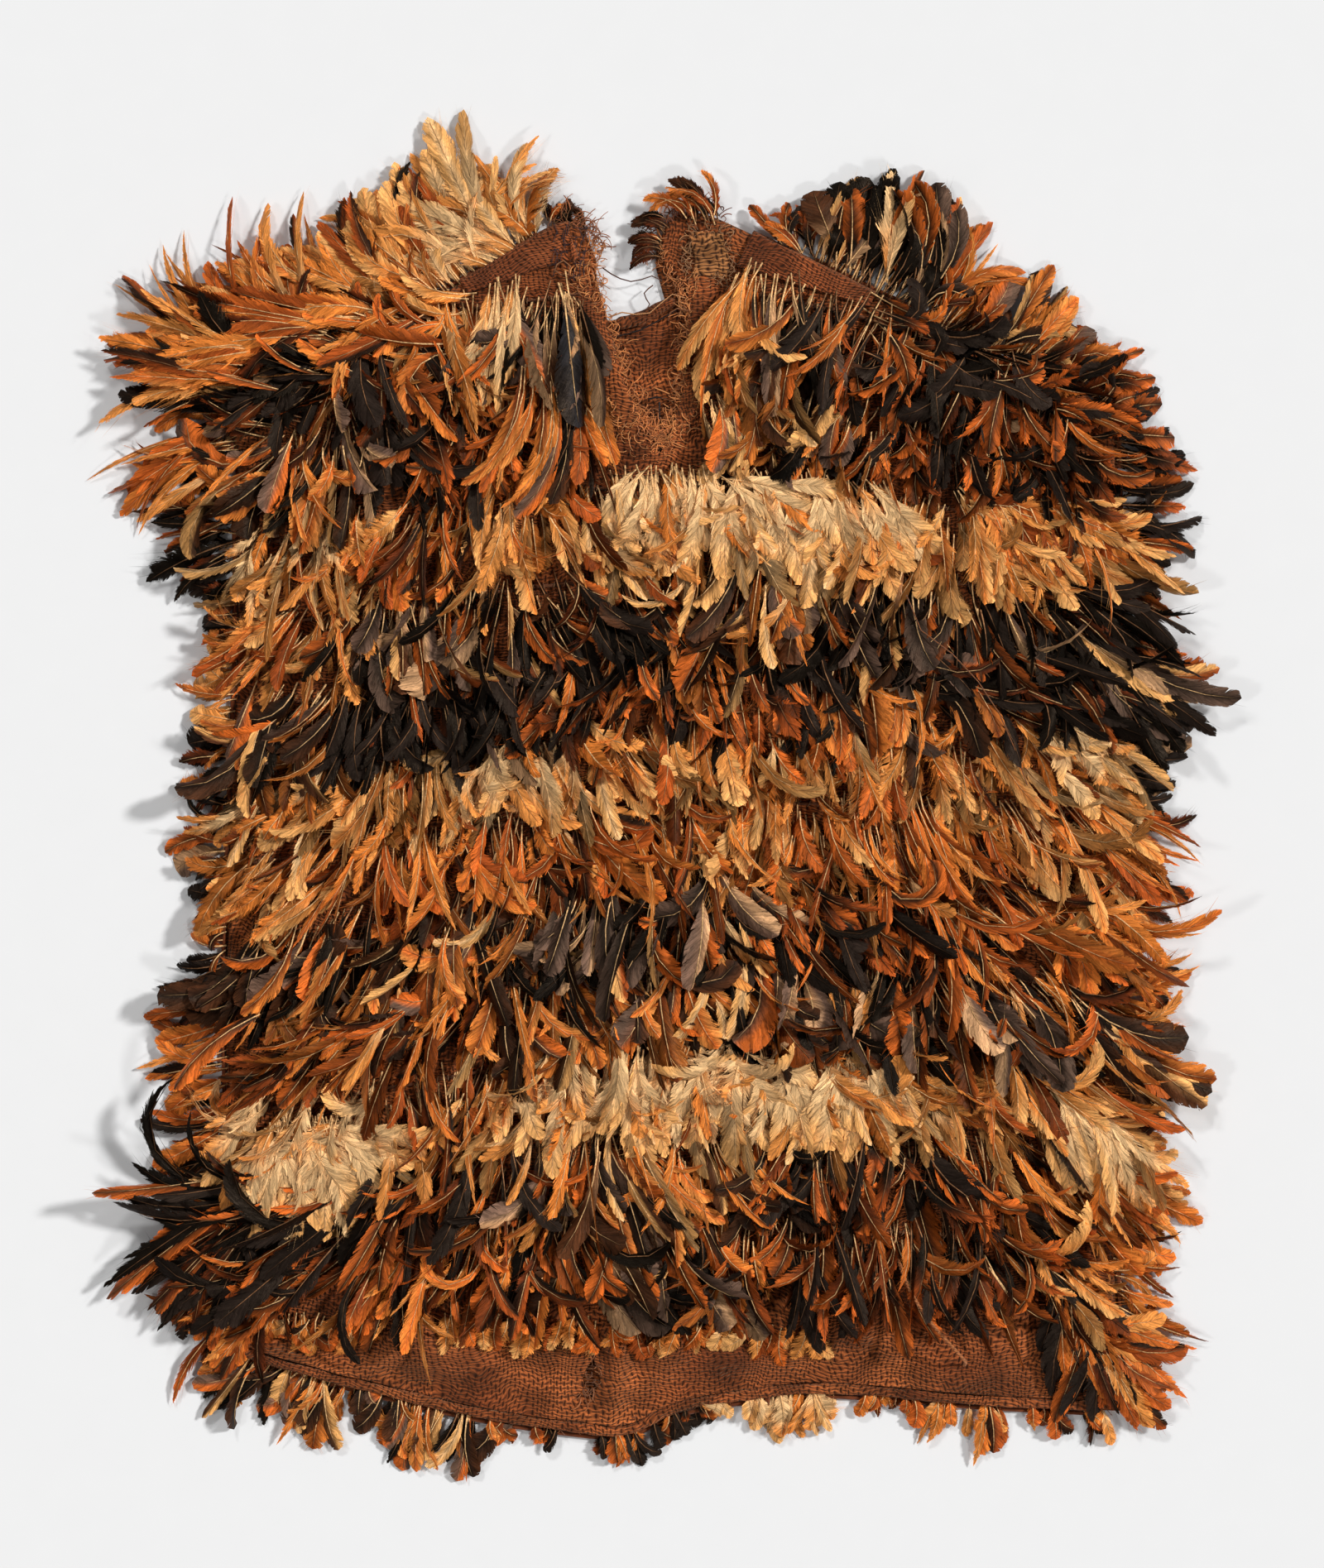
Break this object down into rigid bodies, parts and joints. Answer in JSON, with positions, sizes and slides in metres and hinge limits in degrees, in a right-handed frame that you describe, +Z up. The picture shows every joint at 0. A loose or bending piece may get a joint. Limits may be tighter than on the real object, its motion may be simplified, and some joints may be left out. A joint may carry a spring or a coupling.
{
  "type": "feather cape",
  "caption": "Poncho-shaped cape of coarse cloth laid flat, covered with rows of feathers knotted on cords, with a V neck and a bare rolled hem.",
  "frame": {"origin": "centre of the whole outline, on the surface the cape lies on", "axes": "+X to the right of the picture, +Y from the hem toward the neck, +Z up from the surface through the front panel"},
  "size_m": [0.7645, 0.8894, 0.0348],
  "materials": {
    "ground_cloth": "matt coarse rust-brown tabby of uneven hand-spun yarn",
    "band_cloth": "matt coarse rust-brown tabby, a little brighter where it is bare",
    "patch_cloth": "loose frayed tan tabby",
    "rust_feathers": "rooster feathers in rust, orange and tan with pale quills",
    "dark_feathers": "rooster feathers in blue-black and dark brown, many with a rust edge",
    "cream_feathers": "soft gold and cream feathers with downy edges",
    "cord": "two-ply hand-spun cord"
  },
  "bodies": {
    "root": {"back_panel": "ground_cloth", "front_panel": "ground_cloth", "front_hem": "ground_cloth", "nape_roll": "ground_cloth", "left_shoulder_band": "band_cloth", "right_shoulder_band": "band_cloth", "right_neck_patch": "patch_cloth", "row_01_left": "rust_feathers", "row_01_right": "rust_feathers", "row_02_left": "dark_feathers", "row_02_right": "dark_feathers", "row_03": "cream_feathers", "row_04": "dark_feathers", "row_05": "dark_feathers", "row_06": "cream_feathers", "row_07": "rust_feathers", "row_08": "dark_feathers", "row_09": "dark_feathers", "row_10": "cream_feathers", "row_11": "dark_feathers", "row_12": "rust_feathers", "left_shoulder_fan": "rust_feathers", "right_shoulder_fan": "rust_feathers", "left_side_row": "dark_feathers", "right_side_row": "dark_feathers", "back_hem_row": "dark_feathers", "loose_cord": "cord"}
  },
  "joints": []
}
